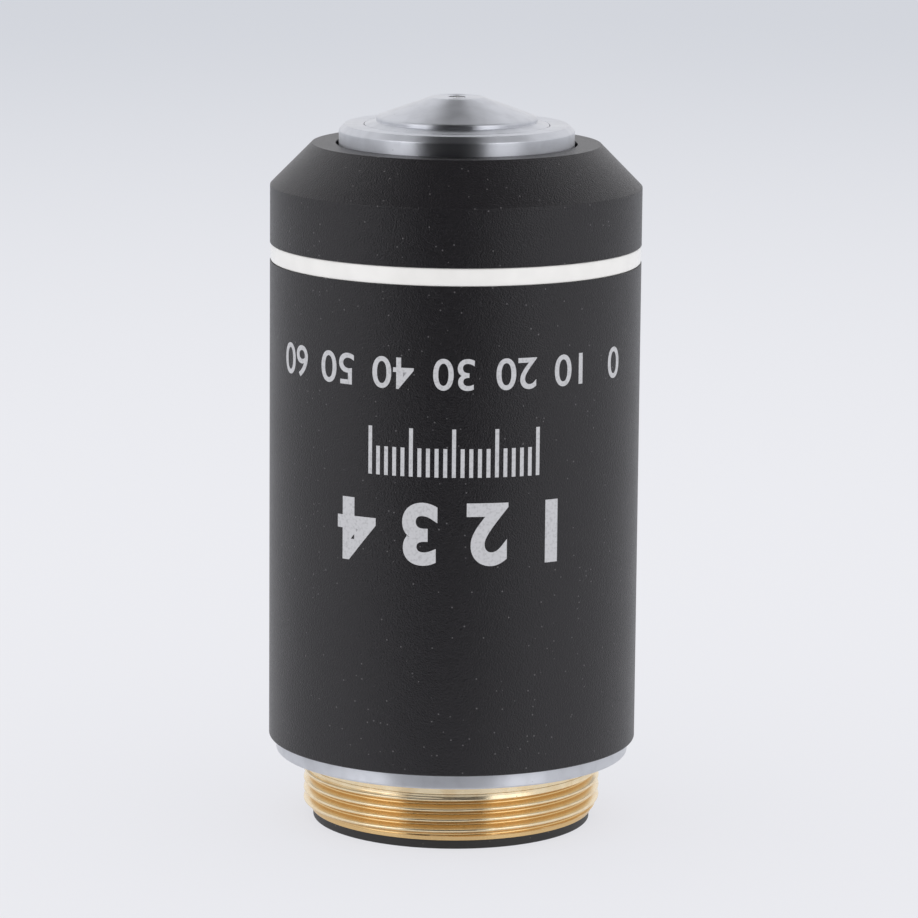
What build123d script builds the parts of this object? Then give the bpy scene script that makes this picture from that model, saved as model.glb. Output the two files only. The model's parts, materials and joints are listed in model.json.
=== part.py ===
from build123d import *
from math import copysign, cos, pi, sin, sqrt
import os

# A high-power immersion microscope objective with a spring-loaded nose, standing on its rear ring.
# Sizes are in millimetres. The origin is the centre of the rear ring's resting face, and +Z runs along
# the optical axis to the front lens. The mounting thread is a plain cylinder of its major diameter.

# Optical lengths, from the shoulder that seats on the microscope to the specimen
parfocal_length = 45.0
cover_glass = 0.17
working_distance = 0.20

# Clearances that the fits share
fit_gap = 0.02  # radial play between pieces that are screwed or dropped into each other
slide_gap = 0.03  # radial play of the sliding lens barrel in the body tube
cement_gap = 0.01  # cement between two bonded lens faces, and play round the front lens

# Outer radius of the cells of the lens stack. Every radius outside it follows through the walls, clearances
# and steps below, which bring the mounting thread to its standard size.
cell_r = 6.38

# Brass mount: the standard 0.8 inch objective thread, 10.11 over the crests and 36 turns to the inch, with
# the spigot above it
mount_bore_room = 0.15
spigot_wall = 1.15
spigot_length = 6.0
neck_step = 0.15
neck_length = 0.36
thread_step = 0.06
thread_length = 2.35
thread_lead_in = 0.30
pilot_step = 0.51
pilot_length = 0.27

# Brass spacer between the mount and the flange, which sets the parfocal length, and its seat in the flange
spacer_ring_thickness = 0.84
spacer_seat_depth = 0.10
spacer_seat_gap = 0.14

# Black ring at the rear end, screwed into the mount, which holds the spring in
rear_ring_step = 0.15
rear_ring_height = 0.62
rear_ring_thread_length = 1.30
rear_ring_width = 2.95
rear_ring_edge = 0.12
spanner_slot_width = 1.20
spanner_slot_depth = 0.40
spanner_slot_margin = 1.25

# Bright flange and the body tube above it
flange_setback = 0.50
flange_thickness = 1.0
flange_chamfer = 0.12
tube_rear_wall = 1.66
tube_relief = 0.60
tube_rear_land = 6.0
tube_front_land = 3.0

# Black sleeve and its white band
sleeve_wall = 0.90
sleeve_edge = 0.12
sleeve_top_width = 1.60
sleeve_chamfer_height = 2.82
sleeve_nose_wall = 3.52
band_drop = 6.71
band_width = 1.20
band_groove_depth = 0.15
band_recess = 0.04

# Ring in the front of the body tube that stops the barrel
stop_ring_step = 1.0
stop_ring_thickness = 1.0

# Sliding lens barrel
travel = 3.0
nose_gap = 0.20
nose_protrusion = 1.26
nose_bevel = 0.40
nose_edge_round = 0.15
stop_overlap = 0.47
waist_relief = 0.47
front_land = 4.0
rear_land = 4.0
rear_land_clearance = 0.50
front_wall = 2.18
skirt_wall = 0.80
skirt_clearance = 1.0
stack_bore_step = 0.10

# Conical front cell, seated in the front of the barrel
barrel_face_width = 1.30
tip_r = 1.80
cone_height = 1.33
cone_edge_round = 0.20
cone_land = 0.28
rim_slope_width = 0.80
rim_slope_height = 0.22
rim_seat_depth = 1.0
rim_gap = 0.04
front_shoulder = 0.60
front_cell_end_gap = 0.10
tip_wall = 1.20
cavity_throat = 0.25
cavity_throat_r = 1.30
nose_cavity_gap = 0.05
nose_end_gap = 0.10

# Front lens, a ball ground flat at the tip
ball_r = 0.85
window_r = 0.57
ball_recess = 0.03

# Seats that all lens cells share
lens_rim = 0.25
lip_margin = 0.30
rear_margin = 0.30
rolled_lip_width = 0.12
rolled_lip_thickness = 0.15

# Lens forms. A share is the lens's edge radius over cell_r. A positive radius of a face has its centre towards
# the rear, a negative one towards the front, and 0 is flat. Thicknesses are at the axis.
meniscus_share = 0.408
meniscus_front_radius = -5.0
meniscus_rear_radius = -3.4
meniscus_thickness = 1.60
meniscus_nose_share = 0.533
meniscus_flange = 1.10

singlet_share = 0.564
singlet_front_radius = 0
singlet_rear_radius = -6.5
singlet_thickness = 2.0

front_doublet_share = 0.674
front_doublet_front_radius = 11.0
front_doublet_bond_radius = -8.0
front_doublet_rear_radius = -30.0
front_doublet_crown_thickness = 3.0
front_doublet_flint_thickness = 0.90
centring_room = 0.28

middle_doublet_share = 0.674
middle_doublet_front_radius = 14.0
middle_doublet_bond_radius = 7.5
middle_doublet_rear_radius = -12.0
middle_doublet_flint_thickness = 0.90
middle_doublet_crown_thickness = 2.80

rear_doublet_share = 0.564
rear_doublet_front_radius = 9.0
rear_doublet_bond_radius = -7.0
rear_doublet_rear_radius = 12.0
rear_doublet_crown_thickness = 2.60
rear_doublet_flint_thickness = 0.80

field_lens_share = 0.502
field_lens_front_radius = 6.0
field_lens_rear_radius = 4.5
field_lens_thickness = 2.80

# Rings between the cells and behind them
spacer_wall = 1.68
front_spacer_length = 1.0
middle_spacer_length = 1.70
rear_spacer_length = 1.50
field_spacer_length = 1.80
aperture_stop_thickness = 0.30
aperture_stop_r = 2.30
stack_ring_length = 1.40
stack_ring_width = 2.58
stack_slot_margin = 1.08

# Return spring, with closed and ground ends
wire_r = 0.40
spring_side_gap = 0.25
spring_turns = 7.0
spring_closed_turns = 1.0
spring_ramp_turns = 0.50
spring_coil_gap = 0.02
spring_points_per_turn = 16

# Guide screw in the body tube, and centring screws in the barrel
guide_height = 24.0
guide_thread_r = 1.0
guide_shoulder = 0.15
guide_tip_r = 0.75
guide_tip_gap = 0.05
guide_slot_depth = 0.90
guide_floor_gap = 0.15
screw_sink = 0.10
driver_slot_width = 0.35
driver_slot_depth = 0.45
centring_screw_r = 0.80
centring_screw_gap = 0.01
centring_screw_angles = (60, 180, 300)

# Stations along the axis that follow from the sizes above
mount_end_z = rear_ring_height
thread_low_z = mount_end_z + pilot_length + thread_lead_in
thread_top_z = thread_low_z + thread_length
mount_seat_z = thread_top_z + neck_length
shoulder_z = mount_seat_z + spacer_ring_thickness
spacer_seat_z = shoulder_z + spacer_seat_depth
flange_top_z = shoulder_z + flange_thickness
spigot_top_z = shoulder_z + spigot_length
rear_ring_top_z = mount_end_z + rear_ring_thread_length
tip_z = shoulder_z + parfocal_length - cover_glass - working_distance
cone_base_z = tip_z - cone_height
barrel_face_z = cone_base_z - cone_land - rim_slope_height
rim_seat_z = barrel_face_z - rim_seat_depth
stack_top_z = barrel_face_z - front_wall
sleeve_top_z = barrel_face_z - nose_protrusion
tube_top_z = sleeve_top_z - sleeve_nose_wall
stop_face_z = tube_top_z - stop_ring_thickness
band_top_z = sleeve_top_z - band_drop
rear_land_z = spigot_top_z + travel + rear_land_clearance
skirt_end_z = rear_ring_top_z + travel + skirt_clearance
guide_z = shoulder_z + guide_height

# Radii of the moving parts, from the lens stack outwards
stack_bore_r = cell_r + fit_gap
skirt_bore_r = stack_bore_r + stack_bore_step
skirt_r = skirt_bore_r + skirt_wall
tube_bore_r = skirt_r + 2 * wire_r + 2 * spring_side_gap
land_r = tube_bore_r - slide_gap
barrel_waist_r = land_r - waist_relief
nose_bore_r = land_r - stop_overlap
nose_r = nose_bore_r - nose_gap
rim_r = nose_r - nose_bevel - barrel_face_width
cone_base_r = rim_r - rim_slope_width
front_thread_r = rim_r - front_shoulder
spacer_bore_r = cell_r - spacer_wall
stack_ring_r = skirt_bore_r - fit_gap
guide_floor_r = barrel_waist_r - guide_slot_depth

# Radii of the lenses
meniscus_r = meniscus_share * cell_r
meniscus_nose_r = meniscus_nose_share * cell_r
singlet_r = singlet_share * cell_r
front_doublet_r = front_doublet_share * cell_r
middle_doublet_r = middle_doublet_share * cell_r
rear_doublet_r = rear_doublet_share * cell_r
field_lens_r = field_lens_share * cell_r

# Radii of the mount, the rear ring, the flange and the sleeve
mount_bore_r = tube_bore_r + mount_bore_room
spigot_r = mount_bore_r + spigot_wall
neck_r = spigot_r + neck_step
thread_r = neck_r + thread_step
pilot_r = thread_r - pilot_step
spacer_seat_r = thread_r + spacer_seat_gap
rear_ring_r = pilot_r - rear_ring_step
rear_ring_bore_r = rear_ring_r - rear_ring_width
spanner_slot_reach_r = rear_ring_r - spanner_slot_margin
spigot_bore_r = spigot_r + fit_gap
stop_ring_r = tube_bore_r + stop_ring_step
tube_land_r = spigot_bore_r + tube_rear_wall
tube_waist_r = tube_land_r - tube_relief
sleeve_bore_r = tube_land_r + fit_gap
sleeve_top_r = nose_bore_r + sleeve_top_width
sleeve_r = sleeve_bore_r + sleeve_wall
flange_r = sleeve_r - flange_setback


def turned(*points):
    """Solid turned about the optical axis from (radius, height) corners."""
    outline = Polyline(*[(r, 0, z) for r, z in points], close=True)
    return revolve(make_face(outline), Axis.Z)


def tube(outer_r, inner_r, low_z, high_z):
    """Plain ring between two heights."""
    return turned((inner_r, low_z), (outer_r, low_z), (outer_r, high_z), (inner_r, high_z))


def round_rim(solid, r, z, radius):
    """Rounds the circular edge of that radius and height."""
    rims = [
        edge
        for edge in solid.edges().filter_by(GeomType.CIRCLE)
        if abs(edge.radius - r) < 1e-4 and abs(edge.arc_center.Z - z) < 1e-4
    ]
    return fillet(rims, radius)


def cut_spanner_slots(ring, low_z, high_z, reach_r):
    """Two slots across the bore of a ring, for a spanner."""
    bar = Box(2 * reach_r, spanner_slot_width, high_z - low_z)
    return ring - Pos(0, 0, (low_z + high_z) / 2) * bar


def radial_pin(r, inner_r, outer_r, z):
    """Cylinder that points away from the axis along +X."""
    return Pos((inner_r + outer_r) / 2, 0, z) * Rot(0, 90, 0) * Cylinder(r, outer_r - inner_r)


def grub_screw(r, inner_r, outer_r, z):
    """Headless screw along +X, with a driver slot in its outer end."""
    slot = Box(2 * driver_slot_depth, driver_slot_width, 4 * r)
    return radial_pin(r, inner_r, outer_r, z) - Pos(outer_r, 0, z) * slot


def fall(radius, r):
    """How far a lens face of that radius falls towards the rear at distance r from the axis."""
    return radius - copysign(sqrt(radius * radius - r * r), radius) if radius else 0


def face_line(vertex_z, radius, clear_r):
    """Half section of a lens face, from the axis to its clear radius."""
    rim = (clear_r, 0, vertex_z - fall(radius, clear_r))
    if not radius:
        return Line((0, 0, vertex_z), rim)
    middle = (clear_r / 2, 0, vertex_z - fall(radius, clear_r / 2))
    return ThreePointArc((0, 0, vertex_z), middle, rim)


def lens_element(edge_r, front_z, front_radius, rear_z, rear_radius):
    """Lens turned about the axis, with a flat rim round each face that seats in its cell."""
    clear_r = edge_r - lens_rim
    front = face_line(front_z, front_radius, clear_r)
    rear = face_line(rear_z, rear_radius, clear_r)
    front_rim_z = front_z - fall(front_radius, clear_r)
    rear_rim_z = rear_z - fall(rear_radius, clear_r)
    side = Polyline(
        (clear_r, 0, front_rim_z),
        (edge_r, 0, front_rim_z),
        (edge_r, 0, rear_rim_z),
        (clear_r, 0, rear_rim_z),
    )
    axis = Line((0, 0, rear_z), (0, 0, front_z))
    outline = Wire(front.edges() + side.edges() + rear.edges() + axis.edges())
    return revolve(make_face(outline), Axis.Z)


def mounted_group(front_z, outer_r, edge_r, radii, thicknesses):
    """Cell whose front face is at front_z, with its cemented lens elements in it.

    The cell has a lip in front of the lens and an edge rolled over behind it. Returns the cell, the list
    of elements and the height of the cell's rear face.
    """
    clear_r = edge_r - lens_rim
    seat_z = front_z - max(fall(radii[0], clear_r), 0) - lip_margin
    vertex_z = seat_z + fall(radii[0], clear_r)
    elements = []
    for front_radius, rear_radius, thickness in zip(radii, radii[1:], thicknesses):
        rear_vertex_z = vertex_z - thickness
        elements.append(lens_element(edge_r, vertex_z, front_radius, rear_vertex_z, rear_radius))
        vertex_z = rear_vertex_z - cement_gap
    rear_rim_z = rear_vertex_z - fall(radii[-1], clear_r)
    rolled_z = rear_rim_z - rolled_lip_thickness
    rear_z = min(rear_vertex_z, rolled_z) - rear_margin
    lip_r = clear_r + fit_gap
    bore_r = edge_r + fit_gap
    rolled_r = edge_r - rolled_lip_width
    ring = turned(
        (lip_r, front_z),
        (outer_r, front_z),
        (outer_r, rear_z),
        (bore_r, rear_z),
        (bore_r, rolled_z),
        (rolled_r, rolled_z),
        (rolled_r, rear_rim_z),
        (bore_r, rear_rim_z),
        (bore_r, seat_z),
        (lip_r, seat_z),
    )
    return ring, elements, rear_z


def make_sleeve():
    """Black sleeve: a cup with a chamfered nose and a shallow groove for the colour band."""
    groove_r = sleeve_r - band_groove_depth
    band_low_z = band_top_z - band_width
    return turned(
        (sleeve_bore_r, flange_top_z),
        (sleeve_r - sleeve_edge, flange_top_z),
        (sleeve_r, flange_top_z + sleeve_edge),
        (sleeve_r, band_low_z),
        (groove_r, band_low_z),
        (groove_r, band_top_z),
        (sleeve_r, band_top_z),
        (sleeve_r, sleeve_top_z - sleeve_chamfer_height),
        (sleeve_top_r, sleeve_top_z),
        (nose_bore_r, sleeve_top_z),
        (nose_bore_r, tube_top_z),
        (sleeve_bore_r, tube_top_z),
    )


def make_band():
    """White enamel that fills the groove of the sleeve."""
    return tube(sleeve_r - band_recess, sleeve_r - band_groove_depth, band_top_z - band_width, band_top_z)


def make_body_tube():
    """Bright flange and the tube that guides the barrel, bored for the mount and the stop ring."""
    stop_bore_r = stop_ring_r + fit_gap
    body = turned(
        (spigot_bore_r, spacer_seat_z),
        (spacer_seat_r, spacer_seat_z),
        (spacer_seat_r, shoulder_z),
        (flange_r - flange_chamfer, shoulder_z),
        (flange_r, shoulder_z + flange_chamfer),
        (flange_r, flange_top_z),
        (tube_land_r, flange_top_z),
        (tube_land_r, flange_top_z + tube_rear_land),
        (tube_waist_r, flange_top_z + tube_rear_land),
        (tube_waist_r, tube_top_z - tube_front_land),
        (tube_land_r, tube_top_z - tube_front_land),
        (tube_land_r, tube_top_z),
        (stop_bore_r, tube_top_z),
        (stop_bore_r, stop_face_z),
        (tube_bore_r, stop_face_z),
        (tube_bore_r, spigot_top_z),
        (spigot_bore_r, spigot_top_z),
    )
    return body - radial_pin(guide_thread_r + fit_gap, barrel_waist_r, sleeve_bore_r, guide_z)


def make_thread_mount():
    """Brass mount: the thread, and the spigot that screws into the body tube."""
    return turned(
        (mount_bore_r, mount_end_z),
        (pilot_r, mount_end_z),
        (pilot_r, mount_end_z + pilot_length),
        (thread_r, thread_low_z),
        (thread_r, thread_top_z),
        (neck_r, thread_top_z),
        (neck_r, mount_seat_z),
        (spigot_r, mount_seat_z),
        (spigot_r, spigot_top_z),
        (mount_bore_r, spigot_top_z),
    )


def make_rear_ring():
    """Black ring under the thread, with two spanner slots."""
    screwed_r = mount_bore_r - fit_gap
    ring = turned(
        (rear_ring_bore_r, 0),
        (rear_ring_r - rear_ring_edge, 0),
        (rear_ring_r, rear_ring_edge),
        (rear_ring_r, mount_end_z),
        (screwed_r, mount_end_z),
        (screwed_r, rear_ring_top_z),
        (rear_ring_bore_r, rear_ring_top_z),
    )
    return cut_spanner_slots(ring, 0, spanner_slot_depth, spanner_slot_reach_r)


def make_stop_ring():
    """Ring in the front of the body tube, with two spanner slots in its front face."""
    ring = tube(stop_ring_r, nose_bore_r, stop_face_z, tube_top_z)
    return cut_spanner_slots(ring, tube_top_z - spanner_slot_depth, tube_top_z, stop_ring_r)


def make_barrel():
    """Sliding barrel: bright nose, two guide lands, a skirt inside the spring and the bore of the stack."""
    front_bore_r = front_thread_r + fit_gap
    rim_bore_r = rim_r + rim_gap
    body = turned(
        (front_bore_r, rim_seat_z),
        (rim_bore_r, rim_seat_z),
        (rim_bore_r, barrel_face_z),
        (nose_r - nose_bevel, barrel_face_z),
        (nose_r, barrel_face_z - nose_bevel),
        (nose_r, stop_face_z),
        (land_r, stop_face_z),
        (land_r, stop_face_z - front_land),
        (barrel_waist_r, stop_face_z - front_land),
        (barrel_waist_r, rear_land_z + rear_land),
        (land_r, rear_land_z + rear_land),
        (land_r, rear_land_z),
        (skirt_r, rear_land_z),
        (skirt_r, skirt_end_z),
        (skirt_bore_r, skirt_end_z),
        (skirt_bore_r, stack_bottom_z),
        (stack_bore_r, stack_bottom_z),
        (stack_bore_r, stack_top_z),
        (front_bore_r, stack_top_z),
    )
    body = round_rim(body, nose_r, barrel_face_z - nose_bevel, nose_edge_round)
    slot_half_width = guide_tip_r + guide_tip_gap
    slot_centre = Pos(guide_floor_r, 0, guide_z + travel / 2) * Rot(0, 90, 0)
    slot = slot_centre * extrude(SlotCenterToCenter(travel, 2 * slot_half_width), land_r)
    screw_hole = radial_pin(centring_screw_r + fit_gap, front_doublet_cell_r, sleeve_bore_r, centring_z)
    body -= slot
    for angle in centring_screw_angles:
        body -= Rot(0, 0, angle) * screw_hole
    return body


def make_front_cell():
    """Conical cell with a spherical seat for the front lens and a cavity for the second cell."""
    cavity_r = meniscus_nose_r + nose_cavity_gap
    bottom_z = stack_top_z + front_cell_end_gap
    throat_r = ball_r + cement_gap
    cell = turned(
        (0, tip_z),
        (tip_r, tip_z),
        (cone_base_r, cone_base_z),
        (cone_base_r, cone_base_z - cone_land),
        (rim_r, barrel_face_z),
        (rim_r, rim_seat_z),
        (front_thread_r, rim_seat_z),
        (front_thread_r, bottom_z),
        (cavity_r, bottom_z),
        (cavity_r, cavity_top_z),
        (cavity_throat_r, cavity_top_z),
        (throat_r, ball_centre_z - cavity_throat),
        (throat_r, ball_centre_z),
        (0, ball_centre_z),
    )
    cell = round_rim(cell, cone_base_r, cone_base_z, cone_edge_round)
    return cell - Pos(0, 0, ball_centre_z) * Sphere(throat_r)


def make_front_lens():
    """Ball lens ground flat where it meets the specimen side."""
    ball = Pos(0, 0, ball_centre_z) * Sphere(ball_r)
    ground_off = Pos(0, 0, ball_flat_z + ball_r) * Box(4 * ball_r, 4 * ball_r, 2 * ball_r)
    return ball - ground_off


def make_meniscus_cell():
    """Second cell: a narrow nose inside the front cell, on a flange that fills the barrel's bore."""
    nose, elements, nose_end_z = mounted_group(
        cavity_top_z - nose_end_gap,
        meniscus_nose_r,
        meniscus_r,
        (meniscus_front_radius, meniscus_rear_radius),
        (meniscus_thickness,),
    )
    low_z = min(stack_top_z - meniscus_flange, nose_end_z)
    neck = tube(meniscus_nose_r, meniscus_r + fit_gap, low_z, nose_end_z)
    flange = tube(cell_r, meniscus_r + fit_gap, low_z, stack_top_z)
    return nose + neck + flange, elements, low_z


def make_spring():
    """Compression spring whose end turns are closed up and ground flat."""
    wire_d = 2 * wire_r + spring_coil_gap
    mean_r = skirt_r + spring_side_gap + wire_r
    height = rear_land_z - rear_ring_top_z
    open_turns = spring_turns - 2 * spring_closed_turns - spring_ramp_turns
    extra_pitch = (height - wire_d * spring_turns) / open_turns

    def opened(turns):
        """Turns of open pitch after the wire starts to open, with a smooth ramp."""
        share = min(max(turns / spring_ramp_turns, 0), 1)
        ramp = spring_ramp_turns * (share**3 - share**4 / 2)
        return ramp + max(turns - spring_ramp_turns, 0)

    def wire_z(turn):
        closing = spring_turns - spring_closed_turns - spring_ramp_turns
        open_part = opened(turn - spring_closed_turns) - opened(turn - closing)
        return rear_ring_top_z + wire_d * turn + extra_pitch * open_part

    count = round(spring_turns * spring_points_per_turn)
    turns = [spring_turns * i / count for i in range(count + 1)]
    centre_line = Spline(
        *[(mean_r * cos(2 * pi * t), mean_r * sin(2 * pi * t), wire_z(t)) for t in turns]
    )
    section = Plane(centre_line @ 0, z_dir=centre_line % 0) * Circle(wire_r)
    wire = sweep(section, path=centre_line, is_frenet=True)
    return wire & tube(tube_bore_r, skirt_r, rear_ring_top_z, rear_land_z)


# Front lens and the cavity behind it
ball_flat_z = tip_z - ball_recess
ball_centre_z = ball_flat_z - sqrt(ball_r * ball_r - window_r * window_r)
cavity_top_z = tip_z - tip_wall

# Lens stack, laid down from the front to the rear, each ring against the one before it
meniscus_cell, (meniscus_lens,), singlet_z = make_meniscus_cell()
singlet_cell, (singlet_lens,), front_spacer_z = mounted_group(
    singlet_z,
    cell_r,
    singlet_r,
    (singlet_front_radius, singlet_rear_radius),
    (singlet_thickness,),
)
front_doublet_z = front_spacer_z - front_spacer_length
front_doublet_cell_r = cell_r - centring_room
front_doublet_cell, (front_doublet_crown, front_doublet_flint), aperture_stop_z = mounted_group(
    front_doublet_z,
    front_doublet_cell_r,
    front_doublet_r,
    (front_doublet_front_radius, front_doublet_bond_radius, front_doublet_rear_radius),
    (front_doublet_crown_thickness, front_doublet_flint_thickness),
)
centring_z = (front_doublet_z + aperture_stop_z) / 2
middle_spacer_z = aperture_stop_z - aperture_stop_thickness
middle_doublet_z = middle_spacer_z - middle_spacer_length
middle_doublet_cell, (middle_doublet_flint, middle_doublet_crown), rear_spacer_z = mounted_group(
    middle_doublet_z,
    cell_r,
    middle_doublet_r,
    (middle_doublet_front_radius, middle_doublet_bond_radius, middle_doublet_rear_radius),
    (middle_doublet_flint_thickness, middle_doublet_crown_thickness),
)
rear_doublet_z = rear_spacer_z - rear_spacer_length
rear_doublet_cell, (rear_doublet_crown, rear_doublet_flint), field_spacer_z = mounted_group(
    rear_doublet_z,
    cell_r,
    rear_doublet_r,
    (rear_doublet_front_radius, rear_doublet_bond_radius, rear_doublet_rear_radius),
    (rear_doublet_crown_thickness, rear_doublet_flint_thickness),
)
field_z = field_spacer_z - field_spacer_length
field_cell, (field_lens,), stack_bottom_z = mounted_group(
    field_z,
    cell_r,
    field_lens_r,
    (field_lens_front_radius, field_lens_rear_radius),
    (field_lens_thickness,),
)
stack_ring_low_z = stack_bottom_z - stack_ring_length
stack_ring = cut_spanner_slots(
    tube(stack_ring_r, stack_ring_r - stack_ring_width, stack_ring_low_z, stack_bottom_z),
    stack_ring_low_z,
    stack_ring_low_z + spanner_slot_depth,
    stack_ring_r - stack_slot_margin,
)

# Screws
guide_shoulder_r = tube_bore_r + guide_shoulder
guide_screw = grub_screw(guide_thread_r, guide_shoulder_r, tube_waist_r - screw_sink, guide_z) + radial_pin(
    guide_tip_r, guide_floor_r + guide_floor_gap, guide_shoulder_r, guide_z
)
centring_screw = grub_screw(
    centring_screw_r,
    front_doublet_cell_r + centring_screw_gap,
    barrel_waist_r - screw_sink,
    centring_z,
)

parts = {
    "outer_sleeve": make_sleeve(),
    "colour_band": make_band(),
    "body_tube": make_body_tube(),
    "parfocal_spacer": tube(neck_r, spigot_bore_r, mount_seat_z, spacer_seat_z),
    "thread_mount": make_thread_mount(),
    "rear_ring": make_rear_ring(),
    "stop_ring": make_stop_ring(),
    "guide_screw": guide_screw,
    "return_spring": make_spring(),
    "lens_barrel": make_barrel(),
    "front_cell": make_front_cell(),
    "front_lens": make_front_lens(),
    "meniscus_cell": meniscus_cell,
    "meniscus_lens": meniscus_lens,
    "singlet_cell": singlet_cell,
    "singlet_lens": singlet_lens,
    "front_spacer": tube(cell_r, spacer_bore_r, front_doublet_z, front_spacer_z),
    "front_doublet_cell": front_doublet_cell,
    "front_doublet_crown": front_doublet_crown,
    "front_doublet_flint": front_doublet_flint,
    "aperture_stop": tube(cell_r, aperture_stop_r, middle_spacer_z, aperture_stop_z),
    "middle_spacer": tube(cell_r, spacer_bore_r, middle_doublet_z, middle_spacer_z),
    "middle_doublet_cell": middle_doublet_cell,
    "middle_doublet_flint": middle_doublet_flint,
    "middle_doublet_crown": middle_doublet_crown,
    "rear_spacer": tube(cell_r, spacer_bore_r, rear_doublet_z, rear_spacer_z),
    "rear_doublet_cell": rear_doublet_cell,
    "rear_doublet_crown": rear_doublet_crown,
    "rear_doublet_flint": rear_doublet_flint,
    "field_spacer": tube(cell_r, spacer_bore_r, field_z, field_spacer_z),
    "field_cell": field_cell,
    "field_lens": field_lens,
    "stack_ring": stack_ring,
    "centring_screws": Compound([Rot(0, 0, angle) * centring_screw for angle in centring_screw_angles]),
}

os.makedirs("parts", exist_ok=True)
for name, shape in parts.items():
    export_step(shape, os.path.join("parts", f"{name}.step"))
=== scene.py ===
import json
from contextlib import contextmanager
from math import atan2, cos, pi, radians, sin, sqrt

import bmesh
import bpy
import numpy as np
from mathutils import Matrix, Vector


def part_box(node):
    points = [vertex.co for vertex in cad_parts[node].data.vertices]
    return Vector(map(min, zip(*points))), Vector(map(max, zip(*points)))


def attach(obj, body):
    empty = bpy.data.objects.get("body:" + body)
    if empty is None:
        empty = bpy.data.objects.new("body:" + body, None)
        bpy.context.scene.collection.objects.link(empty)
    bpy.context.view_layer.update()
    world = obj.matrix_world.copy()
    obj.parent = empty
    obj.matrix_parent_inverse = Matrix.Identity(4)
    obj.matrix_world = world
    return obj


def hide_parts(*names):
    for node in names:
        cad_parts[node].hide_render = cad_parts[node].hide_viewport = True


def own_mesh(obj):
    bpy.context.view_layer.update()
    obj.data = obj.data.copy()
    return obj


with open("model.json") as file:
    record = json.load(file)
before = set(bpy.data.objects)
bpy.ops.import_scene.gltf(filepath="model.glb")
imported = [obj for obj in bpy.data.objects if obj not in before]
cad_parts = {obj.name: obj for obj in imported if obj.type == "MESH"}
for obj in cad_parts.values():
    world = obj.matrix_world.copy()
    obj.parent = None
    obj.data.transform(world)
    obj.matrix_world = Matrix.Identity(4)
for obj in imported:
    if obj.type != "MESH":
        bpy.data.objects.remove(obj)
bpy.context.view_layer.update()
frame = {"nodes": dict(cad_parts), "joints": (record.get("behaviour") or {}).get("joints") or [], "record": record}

bl_info = {
    "name": "Microscope objective",
    "version": (1, 0, 0),
    "blender": (4, 5, 0),
    "location": "View3D > Sidebar > Objective",
    "description": "Surfaces, finishes and studio of a spring-loaded immersion objective",
    "category": "Object",
}

# Lengths are in metres. The optical axis is Z, the thread end stands on the floor and -Y faces the camera.
MM = 0.001

SEGMENTS = 288  # facets of a full turn
ROUND_STEPS = 5  # facets of each rounded corner
SUPPORT = 0.4  # how far past a rounded corner its flat neighbours are held flat, in corner radii
SHARP_ANGLE = radians(30)
OVERCUT = 1 * MM  # how far a cutter reaches past the metal that it cuts
SENSOR = 36  # width of the camera's sensor in millimetres

# Sizes and colours


def length(name, description, millimetres):
    """Length property whose default is given in millimetres."""
    return bpy.props.FloatProperty(
        name=name, description=description, default=millimetres * MM, unit="LENGTH", precision=5
    )


def colour(name, description, red, green, blue):
    """Colour property with a linear default."""
    return bpy.props.FloatVectorProperty(
        name=name, description=description, default=(red, green, blue), min=0, max=1, subtype="COLOR"
    )


def number(name, description, default, low=0.0, high=100.0):
    """Plain number property."""
    return bpy.props.FloatProperty(name=name, description=description, default=default, min=low, max=high)


def turn(name, description, in_degrees):
    """Angle property whose default is given in degrees."""
    return bpy.props.FloatProperty(
        name=name, description=description, default=radians(in_degrees), subtype="ANGLE"
    )


def whole(name, description, default):
    """Whole number property."""
    return bpy.props.IntProperty(name=name, description=description, default=default, min=1)


class MountSizes(bpy.types.PropertyGroup):
    """Brass mount, its spacer and the black ring at its end."""

    bore_wall: length("Bore wall", "Wall of the mount between its bore and its crests", 1.36)
    spigot_step: length("Spigot step", "How far the spigot lies inside the crests", 0.21)
    pilot_step: length("Pilot step", "How far the plain pilot lies inside the crests", 0.51)
    pilot_length: length("Pilot", "Length of the plain pilot before the thread", 0.27)
    lead_in: length("Lead-in", "Length of the taper from the pilot to full thread", 0.30)
    thread_length: length("Thread", "Length of full thread", 2.35)
    neck_step: length("Neck step", "How far the plain neck lies inside the crests", 0.06)
    pitch: length("Pitch", "Distance between crests, 36 to the inch", 0.7056)
    crest_height: length("Crest height", "Height of a crest on the side that faces -Y", 2.11)
    run_out: length("Run-out", "Length over which the thread fades into the neck", 0.16)
    ring_width: length("Ring width", "Radial width of the black ring", 2.95)
    slot_width: length("Slot width", "Width of a spanner slot", 1.20)
    slot_depth: length("Slot depth", "Depth of a spanner slot", 0.40)
    slot_margin: length("Slot margin", "Metal left outside a spanner slot of the black ring", 1.25)
    edge: length("Edge", "Rounding of the turned edges", 0.05)


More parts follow.
